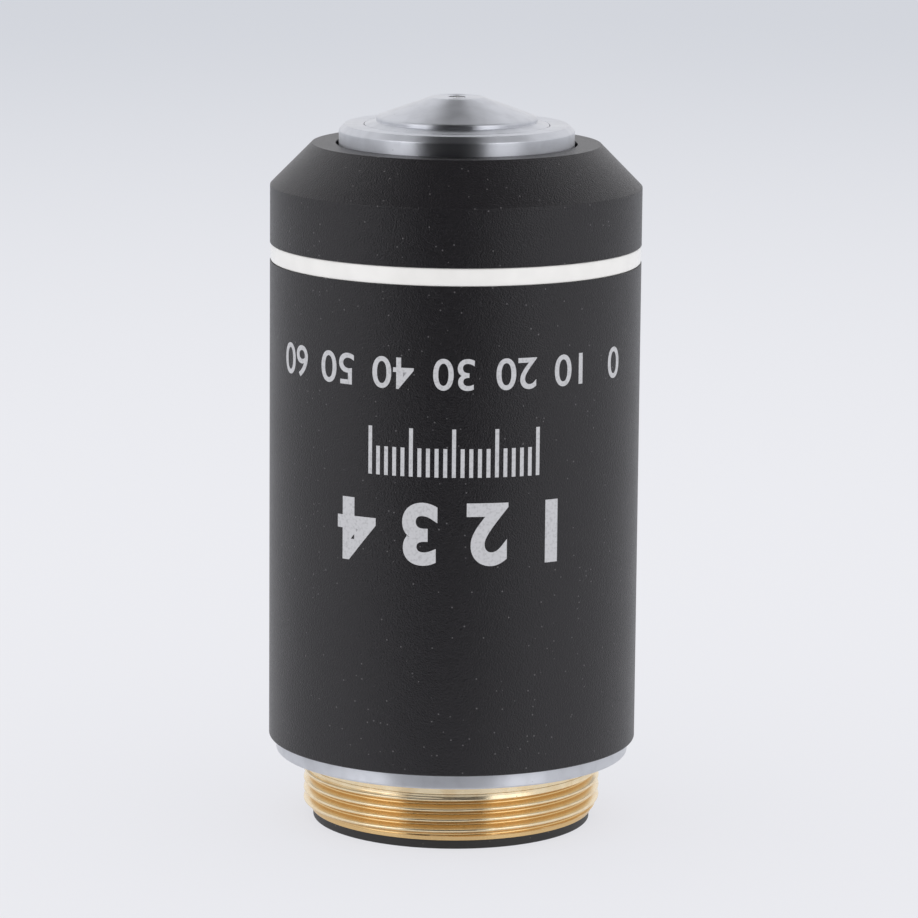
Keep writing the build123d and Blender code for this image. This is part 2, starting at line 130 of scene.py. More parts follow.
class SleeveSizes(bpy.types.PropertyGroup):
    """Black sleeve, its band, the flange and the tube inside."""

    wall: length("Wall", "Wall of the sleeve", 0.90)
    foot_edge: length("Foot edge", "Rounding of the sleeve's lower edge", 0.10)
    shoulder_edge: length("Shoulder edge", "Rounding where the sleeve turns into its chamfer", 0.10)
    top_edge: length("Top edge", "Rounding of the edge between the chamfer and the top", 0.04)
    top_width: length("Top width", "Width of the flat top round the nose", 1.60)
    chamfer_height: length("Chamfer height", "Height of the sleeve's chamfer", 2.82)
    groove_depth: length("Groove depth", "Depth of the groove for the band", 0.15)
    groove_edge: length("Groove edge", "Rounding of the groove's edges", 0.03)
    coat_skin: length("Coat skin", "How far the sleeve stays inside its nominal radius, for the print", 0.012)
    band_edge: length("Band edge", "Rounding of the enamel's edges", 0.10)
    band_inset: length("Band inset", "How far the enamel's edges lie inside its face", 0.01)
    band_crown: length("Band crown", "How much the enamel bulges over its width", 0.03)
    flange_edge: length("Flange edge", "Rounding of the flange's lower edge", 0.12)
    seat_gap: length("Seat gap", "Room round the crests in the flange's seat", 0.14)
    fit_gap: length("Fit gap", "Radial play between pieces screwed together", 0.02)
    relief: length("Tube relief", "Relief of the tube between its lands", 0.60)
    rear_land: length("Rear land", "Length of the tube's rear land", 6.0)
    front_land: length("Front land", "Length of the tube's front land", 3.0)


class NoseSizes(bpy.types.PropertyGroup):
    """Sliding barrel, the conical cell and the front lens."""

    stop_overlap: length("Stop overlap", "How far the barrel's land reaches behind the stop ring", 0.47)
    gap: length("Gap", "Gap between the nose and the sleeve", 0.20)
    slide_gap: length("Slide gap", "Play of the barrel's lands in the tube", 0.03)
    bevel: length("Bevel", "Bevel round the barrel's face", 0.40)
    bevel_round: length("Bevel rounding", "Rounding between the bevel and the side", 0.15)
    face_edge: length("Face edge", "Rounding between the bevel and the face", 0.04)
    rim_gap: length("Rim gap", "Radial gap of the joint round the cell", 0.04)
    seat_depth: length("Seat depth", "Depth of the cell's seat in the barrel", 1.0)
    front_wall: length("Front wall", "Depth of the barrel's thick front", 2.18)
    waist_relief: length("Waist relief", "Relief of the barrel between its lands", 0.47)
    land: length("Land", "Length of each land of the barrel", 4.0)
    skirt_wall: length("Skirt wall", "Wall of the skirt inside the spring", 0.80)
    bore_step: length("Bore step", "Step between the skirt's bore and the stack's bore", 0.10)
    slot_depth: length("Guide slot", "Depth of the slot for the guide screw", 0.90)
    slot_gap: length("Guide slot gap", "Play of the guide screw in its slot", 0.05)
    guide_tip: length("Guide tip", "Radius of the guide screw's tip", 0.75)
    tip_radius: length("Tip radius", "Radius of the flat tip", 1.80)
    mouth_edge: length("Mouth edge", "Rounding of the tip's edge round the lens", 0.01)
    tip_edge: length("Tip edge", "Rounding of the tip's outer edge and of the land's foot", 0.03)
    cone_height: length("Cone height", "Height of the cone", 1.33)
    cone_round: length("Cone rounding", "Rounding of the cone's lower edge", 0.20)
    cone_land: length("Cone land", "Height of the plain land under the cone", 0.28)
    rim_slope: length("Rim slope", "Radial width of the sloped rim", 0.80)
    rim_edge: length("Rim edge", "Rounding of the rim's outer edge", 0.05)
    thread_step: length("Thread step", "How far the cell's thread lies inside its rim", 0.60)
    cavity_wall: length("Cavity wall", "Wall between the cell's cavity and its thread", 2.15)
    tip_wall: length("Tip wall", "Metal between the tip and the cavity", 1.20)
    throat: length("Throat", "Radius of the cavity's cone at its wide end", 1.30)
    throat_drop: length("Throat drop", "Height of the throat under the ball", 0.25)
    ball_gap: length("Ball gap", "Cement round the front lens", 0.01)


class SpringSizes(bpy.types.PropertyGroup):
    """Return spring with closed and ground ends."""

    wire: length("Wire", "Radius of the wire", 0.40)
    turns: number("Turns", "Turns of the wire", 7.0)
    closed_turns: number("Closed turns", "Closed turns at each end", 1.0)
    ramp_turns: number("Ramp turns", "Turns over which the pitch opens", 0.5, 0.1)
    coil_gap: length("Coil gap", "Gap between the closed turns", 0.02)
    end_gap: length("End gap", "Room between the pressed spring and the barrel's land", 0.01)


class ScaleSizes(bpy.types.PropertyGroup):
    """Plain numbers and ticks printed on the sleeve, which read from the thread end."""

    skin: length("Skin", "Thickness of the print", 0.010)
    small_count: whole("Small count", "How many small numbers there are", 7)
    tick_count: whole("Tick count", "How many ticks there are", 21)
    long_every: whole("Long ticks", "Every how many ticks one is long", 5)
    large_count: whole("Large count", "How many large numbers there are", 4)
    small_place: length("Small numbers", "Height of the middle of the small numbers", 32.6)
    small_height: length("Small height", "Height of the small numbers", 2.1)
    small_reach: turn("Small reach", "Angle from the middle to the last small number", 57.0)
    tick_place: length("Ticks", "Height of the end of the ticks", 29.0)
    tick_long: length("Long tick", "Length of a long tick", 3.2)
    tick_short: length("Short tick", "Length of a short tick", 1.9)
    tick_width: length("Tick width", "Width of a tick", 0.26)
    tick_reach: turn("Tick reach", "Angle from the middle to the last tick", 26.0)
    large_place: length("Large numbers", "Height of the middle of the large numbers", 22.0)
    large_height: length("Large height", "Height of the large numbers", 4.2)
    large_reach: turn("Large reach", "Angle from the middle to the last large number", 31.0)
    small_weight: number("Small weight", "Extra weight of the small strokes, over their height", 0.008)
    large_weight: number("Large weight", "Extra weight of the large strokes, over their height", 0.035)
    patch: length("Patch", "Width of the strips that bend round the sleeve", 0.30)


class Finishes(bpy.types.PropertyGroup):
    """Colours and roughness of the finishes."""

    coat: colour("Black coat", "Satin coat of the sleeve", 0.0042, 0.0028, 0.0050)
    coat_speck: colour("Coat speck", "Dust that catches the light on the coat", 0.10, 0.095, 0.10)
    coat_roughness: number("Coat roughness", "Roughness of the coat", 0.34, 0, 1)
    coat_grain: length("Coat grain", "Width of the coat's grain", 0.11)
    enamel: colour("White enamel", "Enamel of the band", 0.97, 0.955, 0.925)
    print_ink: colour("Print", "Ink of the numbers", 0.60, 0.60, 0.62)
    chrome: colour("Satin chrome", "Flange, barrel and conical cell", 0.64, 0.655, 0.69)
    chrome_roughness: number("Chrome roughness", "Roughness of the chrome", 0.36, 0, 1)
    brass: colour("Brass", "Polished brass of the crests and the spacer", 0.88, 0.74, 0.50)
    # Painted shade: the darker, more golden brass deep in the thread stands in for light lost between the flanks.
    # The same colour also tints the random tarnish.
    brass_groove_shade_and_tarnish: colour("Brass root", "Brass deep in the thread", 0.74, 0.51, 0.24)
    brass_roughness: number("Brass roughness", "Roughness of the brass", 0.20, 0, 1)
    # Painted shade: the depths below the crests over which the thread's painted shade fades in
    groove_shade_depth: length("Root depth", "Depth below the crests at which the brass has its root colour", 0.44)
    unshaded_depth: length("Crest depth", "Depth below the crests up to which it has its own colour", 0.06)
    ring: colour("Black ring", "Blackened ring at the foot", 0.018, 0.017, 0.016)
    blackening: colour("Blackening", "Blackened pieces inside", 0.020, 0.020, 0.021)
    seat_radius: length("Black seat", "Radius of the blackened seat round the front lens", 0.90)
    seat_drop: length("Black seat drop", "Depth under the tip at which the seat is blackened", 0.015)
    cavity_radius: length("Black cavity", "Radius of the conical cell's blackened cavity", 3.50)
    cavity_drop: length("Black cavity drop", "Depth under the tip at which the cavity is blackened", 0.90)
    steel: colour("Steel", "Screws", 0.55, 0.55, 0.56)
    spring: colour("Spring steel", "Return spring", 0.45, 0.45, 0.46)
    crown: colour("Crown glass", "Tint of the crown glass", 0.93, 0.97, 0.96)
    flint: colour("Flint glass", "Tint of the flint glass", 0.97, 0.96, 0.91)


class Studio(bpy.types.PropertyGroup):
    """Floor, light and camera."""

    # Painted light: the floor's colour goes from floor_near to floor_far between fade_from and fade_to, a painted
    # falloff of the light with distance
    floor_near: colour("Floor near", "Floor round the objective", 0.84, 0.845, 0.885)
    floor_far: colour("Floor far", "Floor far behind the objective", 0.65, 0.67, 0.72)
    floor_size: length("Floor size", "Radius of the floor", 4000.0)
    fade_from: length("Fade from", "Distance at which the floor starts to darken", 60.0)
    fade_to: length("Fade to", "Distance at which the floor is darkest", 640.0)
    room_from: length("Dark floor from", "Distance in front at which the reflected floor darkens", 30.0)
    room_to: length("Dark floor to", "Distance in front at which the reflected floor is darkest", 130.0)
    floor_glow: number("Floor glow", "Share of the floor's paleness that is its own light", 0.78, 0, 1)
    ambient: number("Ambient", "Light on matt surfaces, the same from all sides", 1.0)
    panel: number("Panel", "Radiance of the two front side panels in reflections", 1.85)
    surround: number("Surround", "Radiance of the sides and back in reflections", 0.92)
    ceiling: number("Ceiling", "Radiance of the ceiling in reflections", 0.10)
    dark: number("Dark side", "Radiance of the room behind the camera in reflections", 0.03)
    coolness: number("Coolness", "Blue of the reflected light over its red and green", 1.03)
    dark_centre: turn("Dark centre", "Middle of the dark room, from the camera side to +X", -5.0)
    dark_half: turn("Dark half width", "Half the width of the dark room", 35.0)
    panel_width: turn("Panel width", "Width of each side panel", 34.0)
    camera_distance: length("Camera distance", "Distance from the optical axis to the camera", 321.30)
    camera_height: length("Camera height", "Height of the camera over the floor", 84.035)
    camera_pitch: turn("Pitch", "How far the camera looks down", 10.4545)
    camera_yaw: turn("Yaw", "How far the camera looks to +X", 0.0611)
    camera_roll: turn("Roll", "Turn of the camera about its line of sight", 0.5163)
    focal_length: number("Focal length", "Focal length in millimetres", 189.07, 1, 1000)


GROUPS = {
    "objective_mount": MountSizes,
    "objective_sleeve": SleeveSizes,
    "objective_nose": NoseSizes,
    "objective_spring": SpringSizes,
    "objective_scale": ScaleSizes,
    "objective_finishes": Finishes,
    "objective_studio": Studio,
}


def reach(node):
    """Largest radius of a node about the optical axis, from the frame."""
    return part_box(node)[1].x


def low(node):
    """Height of a node's lowest point, from the frame."""
    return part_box(node)[0].z


def high(node):
    """Height of a node's highest point, from the frame."""
    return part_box(node)[1].z


def lying(node):
    """Radius and height of the axis of round pieces that lie on their sides, from the frame."""
    return (high(node) - low(node)) / 2, (high(node) + low(node)) / 2


def travel():
    """Travel of the nose, from the frame's joint."""
    return frame["joints"][0]["range_m"][1]


# Shapes


def unit(vectors):
    """Vectors scaled to length 1."""
    return vectors / np.linalg.norm(vectors, axis=-1, keepdims=True)


def rounded(corners, steps=ROUND_STEPS):
    """Closed outline of (radius, height) points from corners (radius, height, rounding).

    A rounded corner is an arc that touches both its sides. Its centre lies on the corner's bisector, at
    rounding / sin(half the corner's angle), and the arc's points are spaced evenly by angle. One more point
    on each side keeps the flat next to it flat. A corner with no rounding stays one point.
    """
    corners = np.asarray(corners, float)
    point, rounding = corners[:, :2], corners[:, 2:]
    back = unit(np.roll(point, 1, axis=0) - point)
    ahead = unit(np.roll(point, -1, axis=0) - point)
    half = np.arccos(np.clip((back * ahead).sum(axis=1, keepdims=True), -1, 1)) / 2
    run = rounding / np.tan(half)
    with np.errstate(invalid="ignore", divide="ignore"):
        centre = point + unit(back + ahead) * rounding / np.sin(half)
        first = (point + back * run - centre)[:, None]
        last = (point + ahead * run - centre)[:, None]
        sweep = (pi - 2 * half)[:, None]
        share = np.linspace(0, 1, steps + 1)[None, :, None]
        swung = np.sin((1 - share) * sweep) * first + np.sin(share * sweep) * last
        arc = centre[:, None] + swung / np.sin(sweep)
    held = run + SUPPORT * rounding
    rows = np.concatenate([(point + back * held)[:, None], arc, (point + ahead * held)[:, None]], axis=1)
    kept = np.ones(rows.shape[:2], bool)
    kept[rounding[:, 0] == 0, 1:] = False
    return rows[kept]


def placed(name, data):
    """New object with that data, in the scene."""
    made = bpy.data.objects.new(name, data)
    bpy.context.scene.collection.objects.link(made)
    return made


@contextmanager
def edited(mesh):
    """The mesh as a bmesh, which goes back into it at the end."""
    shell = bmesh.new()
    shell.from_mesh(mesh)
    yield shell
    shell.to_mesh(mesh)
    shell.free()


def points_of(mesh):
    """Vertices of a mesh as an array of (x, y, z)."""
    points = np.zeros(len(mesh.vertices) * 3, np.float32)
    mesh.vertices.foreach_get("co", points)
    return points.reshape(-1, 3)


def piece_of(name, vertices, faces):
    """New mesh piece with merged seams and poles, faces outwards, and smooth shading up to SHARP_ANGLE."""
    mesh = bpy.data.meshes.new(name)
    mesh.from_pydata(vertices, [], faces)
    with edited(mesh) as shell:
        bmesh.ops.remove_doubles(shell, verts=shell.verts, dist=1e-8)
        loose = [edge for edge in shell.edges if not edge.link_faces]
        bmesh.ops.delete(shell, geom=loose, context="EDGES")
        bmesh.ops.recalc_face_normals(shell, faces=shell.faces)
    smooth(mesh)
    return placed(name, mesh)


def smooth(mesh):
    """Smooth shading with sharp edges only where two faces meet at more than SHARP_ANGLE."""
    mesh.shade_smooth()
    mesh.set_sharp_from_angle(angle=SHARP_ANGLE)


def grid_piece(name, x, y, z, looped=True):
    """Piece from a grid of points that closes on itself along its columns, and along its rows if looped."""
    rows, columns = x.shape
    index = np.arange(rows * columns).reshape(rows, columns)
    below = np.roll(index, -1, axis=0)
    if not looped:
        index, below = index[:-1], below[:-1]
    quads = np.stack([index, below, np.roll(below, -1, axis=1), np.roll(index, -1, axis=1)], axis=-1)
    return piece_of(name, np.stack([x, y, z], axis=-1).reshape(-1, 3), quads.reshape(-1, 4).tolist())


def full_turn(segments=SEGMENTS):
    """Angles of a full turn, without the last one, which is the first again."""
    return np.linspace(0, 2 * pi, segments, endpoint=False)


def turned(name, corners, steps=ROUND_STEPS, segments=SEGMENTS):
    """Piece turned about the optical axis from the rounded outline of its corners.

    At angle a the outline's point (r, z) lies at (r cos a, r sin a, z).
    """
    outline = rounded(corners, steps)
    angle = full_turn(segments)
    r, z = outline[:, :1], outline[:, 1:]
    return grid_piece(name, r * np.cos(angle), r * np.sin(angle), z + 0 * angle)


def prism(name, outline, start, end, angle=0.0):
    """Closed bar with an outline of (sideways, height) points, from start to end along a level direction."""
    count = len(outline)
    sideways = np.tile(outline[:, 0], 2)
    z = np.tile(outline[:, 1], 2)
    along = np.repeat([start, end], count)
    x = along * cos(angle) - sideways * sin(angle)
    y = along * sin(angle) + sideways * cos(angle)
    near = np.arange(count)
    after = np.roll(near, -1)
    sides = np.stack([near, after, after + count, near + count], axis=-1).tolist()
    ends = [near.tolist(), (near + count).tolist()]
    return piece_of(name, np.stack([x, y, z], axis=-1), sides + ends)


def slot_outline(radius, low_z, high_z, steps=16):
    """Outline of an upright slot with round ends: two half circles joined by straight sides."""
    half = np.linspace(0, pi, steps)
    upper = np.stack([radius * np.cos(half), high_z + radius * np.sin(half)], axis=-1)
    lower = np.stack([radius * np.cos(half + pi), low_z + radius * np.sin(half + pi)], axis=-1)
    return np.concatenate([upper, lower])


def bar(name, radius, height, start, end, angle=0.0):
    """Round bar along a level direction."""
    return prism(name, slot_outline(radius, height, height), start, end, angle)


def box_outline(half_width, low_z, high_z):
    """Outline of a box from its half width and its heights."""
    return np.array([(-half_width, low_z), (half_width, low_z), (half_width, high_z), (-half_width, high_z)])


def cut(piece, *cutters):
    """Takes closed cutters out of a piece, which keeps the result as its mesh, and removes them."""
    for cutter in cutters:
        modifier = piece.modifiers.new(cutter.name, "BOOLEAN")
        modifier.operation = "DIFFERENCE"
        modifier.solver = "EXACT"
        modifier.object = cutter
    whole = piece.data
    seen = piece.evaluated_get(bpy.context.evaluated_depsgraph_get())
    piece.data = bpy.data.meshes.new_from_object(seen)
    piece.modifiers.clear()
    bpy.data.meshes.remove(whole)
    for cutter in cutters:
        bpy.data.meshes.remove(cutter.data)
    smooth(piece.data)
    return piece


def dress(piece, body, slot, *nodes):
    """Gives a piece its body, its slot's finish and the nodes that it stands for."""
    piece.data.materials.clear()
    piece.data.materials.append(finish(slot))
    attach(piece, body)
    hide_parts(*nodes)
    return piece


# Finishes


def math_node(operation, reflected=False):
    """Operator of Field that adds one Math node."""

    def joined(self, other):
        left, right = (other, self) if reflected else (self, other)
        return self.shader.node("Math", {"operation": operation}, {0: left, 1: right})

    return joined


class Field:
    """Output of a shader node. Sums on it in Python add the Math nodes that work them out."""

    def __init__(self, shader, socket):
        self.shader = shader
        self.socket = socket

    __add__, __radd__ = math_node("ADD"), math_node("ADD", reflected=True)
    __sub__, __rsub__ = math_node("SUBTRACT"), math_node("SUBTRACT", reflected=True)
    __mul__, __rmul__ = math_node("MULTIPLY"), math_node("MULTIPLY", reflected=True)
    __truediv__, __rtruediv__ = math_node("DIVIDE"), math_node("DIVIDE", reflected=True)
    __pow__, __rpow__ = math_node("POWER"), math_node("POWER", reflected=True)


class Shader:
    """Node tree of a material or of the world."""

    def __init__(self, owner):
        owner.use_nodes = True
        self.tree = owner.node_tree
        self.tree.nodes.clear()

    def node(self, kind, settings=None, inputs=None, output=0):
        """Adds one node. Its settings come first, then the values or fields of its sockets."""
        made = self.tree.nodes.new("ShaderNode" + kind)
        for key, value in (settings or {}).items():
            setattr(made, key, value)
        for key, value in (inputs or {}).items():
            if isinstance(value, Field):
                self.tree.links.new(value.socket, made.inputs[key])
            else:
                made.inputs[key].default_value = value
        return Field(self, made.outputs[output]) if made.outputs else made

    def place(self):
        """Object coordinates."""
        return self.node("TexCoord", output="Object")

    def split(self, vector):
        """X, Y and Z of a vector."""
        made = self.node("SeparateXYZ", inputs={0: vector})
        return [Field(self, socket) for socket in made.socket.node.outputs]

    def ray(self, kind):
        """1 for rays of that kind, else 0."""
        return self.node("LightPath", output=f"Is {kind} Ray")

    def noise(self, vector, size, detail=2.0, roughness=0.5):
        """Noise from 0 to 1 whose features have that width."""
        return self.node(
            "TexNoise",
            inputs={"Vector": vector, "Scale": 1 / size, "Detail": detail, "Roughness": roughness},
        )

    def rise(self, value, start, end):
        """Smooth rise from 0 to 1 as value goes from start to end."""
        return self.node(
            "MapRange",
            {"interpolation_type": "SMOOTHSTEP"},
            {"Value": value, "From Min": start, "From Max": end},
        )

    def mix(self, share, first, second):
        """Colour between two others."""
        return self.node(
            "Mix", {"data_type": "RGBA"}, {"Factor": share, 6: rgba(first), 7: rgba(second)}, output=2
        )

    def bump(self, height, distance):
        """Normal bent by a height from 0 to 1 that stands for that distance."""
        return self.node("Bump", inputs={"Height": height, "Distance": distance, "Strength": 1.0})

    def surface(self, **inputs):
        """Principled surface, joined to the output. Underscores in the names stand for spaces."""
        sockets = {name.replace("_", " "): value for name, value in inputs.items()}
        body = self.node("BsdfPrincipled", inputs=sockets)
        self.node("OutputMaterial", inputs={"Surface": body})


def rgba(shade):
    """Colour with full alpha. A field stays as it is."""
    return shade if isinstance(shade, Field) else (*shade[:3], 1.0)


def dimmed(shade, share):
    """Colour times a number."""
    return tuple(share * channel for channel in shade)


def grey(level):
    """Colour whose three channels are alike."""
    return (level, level, level)


def radius_of(x, y):
    """Distance from the optical axis."""
    return (x * x + y * y) ** 0.5


def turning_marks(shader, r, z, size):
    """Fine rings left by the lathe: noise that depends on the radius and the height alone."""
    section = shader.node("CombineXYZ", inputs={0: r, 1: z})
    return shader.noise(section, size, detail=3.0, roughness=0.6)


def specks(shader, vector, spacing, share, size):
    """Mask of small round specks, one at most in each cell of that spacing, in a share of the cells. Their
    size is a share of the spacing."""
    cell = shader.node("TexVoronoi", inputs={"Vector": vector, "Scale": 1 / spacing})
    outputs = cell.socket.node.outputs
    pick = shader.node("SeparateColor", inputs={0: Field(shader, outputs["Color"])})
    there = shader.rise(pick, 1 - share, 1 - share + 0.01)
    near = 1 - shader.rise(Field(shader, outputs["Distance"]), 0.6 * size, size)
    return there * near


def hollow(shader, r, z, radius, top, fade):
    """Mask of the room inside a radius and under a height, which fades out past both."""
    sideways = 0.05 * MM
    past_radius = shader.rise(r, radius, radius + sideways)
    past_top = shader.rise(z, top, top + fade)
    return (1 - past_radius) * (1 - past_top)


def black_coat(shader, finishes):
    """Satin black coat with a fine leathery grain and a few light specks of dust."""
    vector = shader.place()
    grain = shader.noise(vector, finishes.coat_grain, detail=2.0, roughness=0.55)
    cloud = shader.noise(vector, 40 * finishes.coat_grain, detail=2.0)
    dust = specks(shader, vector, spacing=0.42 * MM, share=0.30, size=0.16)
    shader.surface(
        Base_Color=shader.mix(dust, finishes.coat, finishes.coat_speck),
        Roughness=finishes.coat_roughness - 0.05 + 0.06 * cloud + 0.08 * grain,
        Normal=shader.bump(grain, 0.06 * MM),
    )


def white_enamel(shader, finishes):
    """Glossy white enamel, a little uneven from being laid in by hand."""
    pool = shader.noise(shader.place(), 1.4 * MM, detail=1.0)
    shader.surface(
        Base_Color=shader.mix(shader.rise(pool, 0.35, 0.7), finishes.enamel, dimmed(finishes.enamel, 0.96)),
        Roughness=0.20 + 0.10 * pool,
        Normal=shader.bump(pool, 0.006 * MM),
        Coat_Weight=0.5,
        Coat_Roughness=0.08,
    )


def print_ink(shader, finishes):
    """Light grey ink that lies a little thinner in places."""
    cover = shader.noise(shader.place(), 0.18 * MM, detail=2.0)
    thin = dimmed(finishes.print_ink, 0.80)
    shader.surface(
        Base_Color=shader.mix(shader.rise(cover, 0.45, 0.75), finishes.print_ink, thin),
        Roughness=0.45 + 0.15 * cover,
        Normal=shader.bump(cover, 0.004 * MM),
    )


def satin_chrome(shader, finishes):
    """Satin chrome over fine turning marks, blackened inside the cell round the front lens and behind it."""
    vector = shader.place()
    x, y, z = shader.split(vector)
    r = radius_of(x, y)
    tip = high("front_cell")
    marks = turning_marks(shader, r, z, 0.035 * MM)
    haze = shader.noise(vector, 1.1 * MM, detail=3.0)
    stains = specks(shader, vector, spacing=0.8 * MM, share=0.30, size=0.07)
    seat = hollow(shader, r, z, finishes.seat_radius, tip - finishes.seat_drop, 0.01 * MM)
    cavity = hollow(shader, r, z, finishes.cavity_radius, tip - finishes.cavity_drop, 0.03 * MM)
    bore = shader.rise(seat + cavity, 0.1, 0.9)
    metal = shader.mix(shader.rise(haze, 0.4, 0.7), finishes.chrome, dimmed(finishes.chrome, 0.93))
    worn = shader.mix(stains * 0.55, metal, (0.20, 0.20, 0.22))
    shader.surface(
        Base_Color=shader.mix(bore, worn, finishes.blackening),
        Metallic=1 - bore,
        Roughness=finishes.chrome_roughness - 0.04 + 0.08 * haze + 0.05 * marks,
        Normal=shader.bump(marks, 0.003 * MM),
        Anisotropic=0.9,
        Anisotropic_Rotation=0.25,
    )


def brass(shader, finishes):
    """Turned brass with fine rings, faint tarnish and a little dark dirt. Deep in the thread it has a painted
    shade: a darker, more golden colour that stands in for the light lost between the flanks.
    """
    vector = shader.place()
    x, y, z = shader.split(vector)
    r = radius_of(x, y)
    crest_r = reach("thread_mount")
    marks = turning_marks(shader, r, z, 0.03 * MM)
    haze = shader.noise(vector, 1.3 * MM, detail=4.0)
    dirt = specks(shader, vector, spacing=0.5 * MM, share=0.30, size=0.10)
    # Painted shade: the brass is painted darker from the crests down into the thread's roots
    outwards = shader.rise(r, crest_r - finishes.groove_shade_depth, crest_r - finishes.unshaded_depth)
    metal = shader.mix(outwards, finishes.brass_groove_shade_and_tarnish, finishes.brass)
    metal = shader.mix(shader.rise(haze, 0.42, 0.68) * 0.35, metal, finishes.brass_groove_shade_and_tarnish)
    shader.surface(
        Base_Color=shader.mix(dirt * 0.6, metal, (0.10, 0.055, 0.02)),
        Metallic=1.0,
        Roughness=finishes.brass_roughness - 0.04 + 0.10 * haze + 0.04 * marks,
        Normal=shader.bump(marks, 0.002 * MM),
        Anisotropic=0.8,
        Anisotropic_Rotation=0.25,
    )


def black_ring(shader, finishes):
    """Blackened ring with dust on it."""
    vector = shader.place()
    grain = shader.noise(vector, 0.10 * MM, detail=3.0)
    dust = specks(shader, vector, spacing=0.30 * MM, share=0.35, size=0.16)
    shader.surface(
        Base_Color=shader.mix(dust * 0.8, finishes.ring, (0.22, 0.19, 0.15)),
        Roughness=0.42 + 0.2 * grain,
        Normal=shader.bump(grain, 0.006 * MM),
    )


def blackened_metal(shader, finishes):
    """Matt black oxide of the pieces inside, with turning marks."""
    x, y, z = shader.split(shader.place())
    marks = turning_marks(shader, radius_of(x, y), z, 0.08 * MM)
    shader.surface(
        Base_Color=shader.mix(marks, finishes.blackening, dimmed(finishes.blackening, 1.5)),
        Roughness=0.5 + 0.15 * marks,
        Normal=shader.bump(marks, 0.004 * MM),
    )


def ground_steel(shader, shade, roughness):
    """Ground steel with a fine grain."""
    grain = shader.noise(shader.place(), 0.06 * MM, detail=3.0)
    shader.surface(
        Base_Color=shader.mix(grain, shade, dimmed(shade, 0.85)),
        Metallic=1.0,
        Roughness=roughness + 0.1 * grain,
        Normal=shader.bump(grain, 0.002 * MM),
    )


def glass(shader, tint, index):
    """Coated lens glass with a trace of a film on it."""
    film = shader.noise(shader.place(), 1.5 * MM, detail=2.0)
    shader.surface(
        Base_Color=shader.mix(film, tint, dimmed(tint, 0.97)),
        Roughness=0.01 + 0.02 * film,
        IOR=index,
        Specular_IOR_Level=0.12,
        Transmission_Weight=1.0,
    )


FINISH_MAKERS = {
    "black_coat": black_coat,
    "white_enamel": white_enamel,
    "print": print_ink,
    "satin_chrome": satin_chrome,
    "brass": brass,
    "black_ring": black_ring,
    "blackened_metal": blackened_metal,
    "steel": lambda shader, finishes: ground_steel(shader, finishes.steel, 0.28),
    "spring_steel": lambda shader, finishes: ground_steel(shader, finishes.spring, 0.16),
    "crown_glass": lambda shader, finishes: glass(shader, finishes.crown, 1.52),
    "flint_glass": lambda shader, finishes: glass(shader, finishes.flint, 1.65),
}


def finish(slot):
    """Material of a slot, made when it is first asked for."""
    name = "finish_" + slot
    found = bpy.data.materials.get(name)
    if found:
        return found
    material = bpy.data.materials.new(name)
    FINISH_MAKERS[slot](Shader(material), bpy.context.scene.objective_finishes)
    return material


# Pieces


def thread_depth(height, angle, sizes):
    """Depth of the thread's groove below its crests, at a height and an angle about the axis.

    The standard 55 degree form: straight flanks between a round crest and a round root, each with a radius
    of 0.1373 of the pitch. The crest climbs by one pitch in each turn to the right.
    """
    pitch = sizes.pitch
    flank_angle = radians(27.5)
    sharp_height = pitch / 2 / np.tan(flank_angle)
    round_r = 0.137329 * pitch
    turns = (angle + pi / 2) / (2 * pi)
    phase = (height - sizes.crest_height) / pitch - turns
    along = np.abs((phase + 0.5) % 1 - 0.5) * pitch
    crest = sharp_height / 3
    touch = round_r * cos(flank_angle)
    from_root = pitch / 2 - along
    crest_arc = crest - round_r + np.sqrt(np.maximum(round_r**2 - along**2, 0))
    root_arc = -(crest - round_r + np.sqrt(np.maximum(round_r**2 - from_root**2, 0)))
    flank = sharp_height * (0.5 - along * 2 / pitch)
    form = np.where(along < touch, crest_arc, np.where(from_root < touch, root_arc, flank))
    return crest - form


def build_mount(sizes):
    """Brass mount with its thread.

    The thread's rows lie close together. At each height and angle the radius is that of the thread's form,
    or of the pilot, taper or neck where that is smaller.
    """
    crest_r = reach("thread_mount")
    foot, top = low("thread_mount"), high("thread_mount")
    seat = low("parfocal_spacer")
    pilot_r, neck_r = crest_r - sizes.pilot_step, crest_r - sizes.neck_step
    spigot_r, bore_r = crest_r - sizes.spigot_step, crest_r - sizes.bore_wall
    pilot_top = foot + sizes.pilot_length
    thread_low = pilot_top + sizes.lead_in
    thread_top = thread_low + sizes.thread_length
    edge = sizes.edge
    rows_per_pitch = 28
    count = int((thread_top + sizes.run_out - pilot_top) / sizes.pitch * rows_per_pitch)
    rows = np.linspace(pilot_top, thread_top + sizes.run_out, count)
    bends = [pilot_top, thread_low, thread_top, rows[-1]]
    envelope = np.interp(rows, bends, [pilot_r, crest_r, crest_r, neck_r])
    below = [(bore_r, foot, edge), (pilot_r, foot, edge)]
    threaded_part = np.stack([envelope, rows, 0 * rows], axis=-1)
    above = [(neck_r, seat, edge), (spigot_r, seat, 0), (spigot_r, top, edge), (bore_r, top, edge)]
    outline = rounded(np.vstack([below, threaded_part, above]))
    angle = full_turn()
    r, z = outline[:, :1] + 0 * angle, outline[:, 1:] + 0 * angle
    fade = np.clip((thread_top + sizes.run_out - z) / sizes.run_out, 0, 1)
    threaded = (z > pilot_top) & (z < thread_top + sizes.run_out) & (r > spigot_r - 2 * sizes.pilot_step)
    depth = thread_depth(z, angle, sizes) * fade
    r = np.where(threaded, np.minimum(r, crest_r - depth), r)
    return grid_piece("brass_mount", r * np.cos(angle), r * np.sin(angle), z)


def build_spacer(sizes):
    """Brass spacer above the mount. Its rounded edge makes the fine line round the neck."""
    outer_r = reach("parfocal_spacer")
    bore_r = reach("thread_mount") - sizes.spigot_step
    foot, top = low("parfocal_spacer"), high("parfocal_spacer")
    edge = sizes.edge
    corners = [(bore_r, foot, 0), (outer_r, foot, edge), (outer_r, top, edge), (bore_r, top, 0)]
    return turned("brass_spacer", corners)


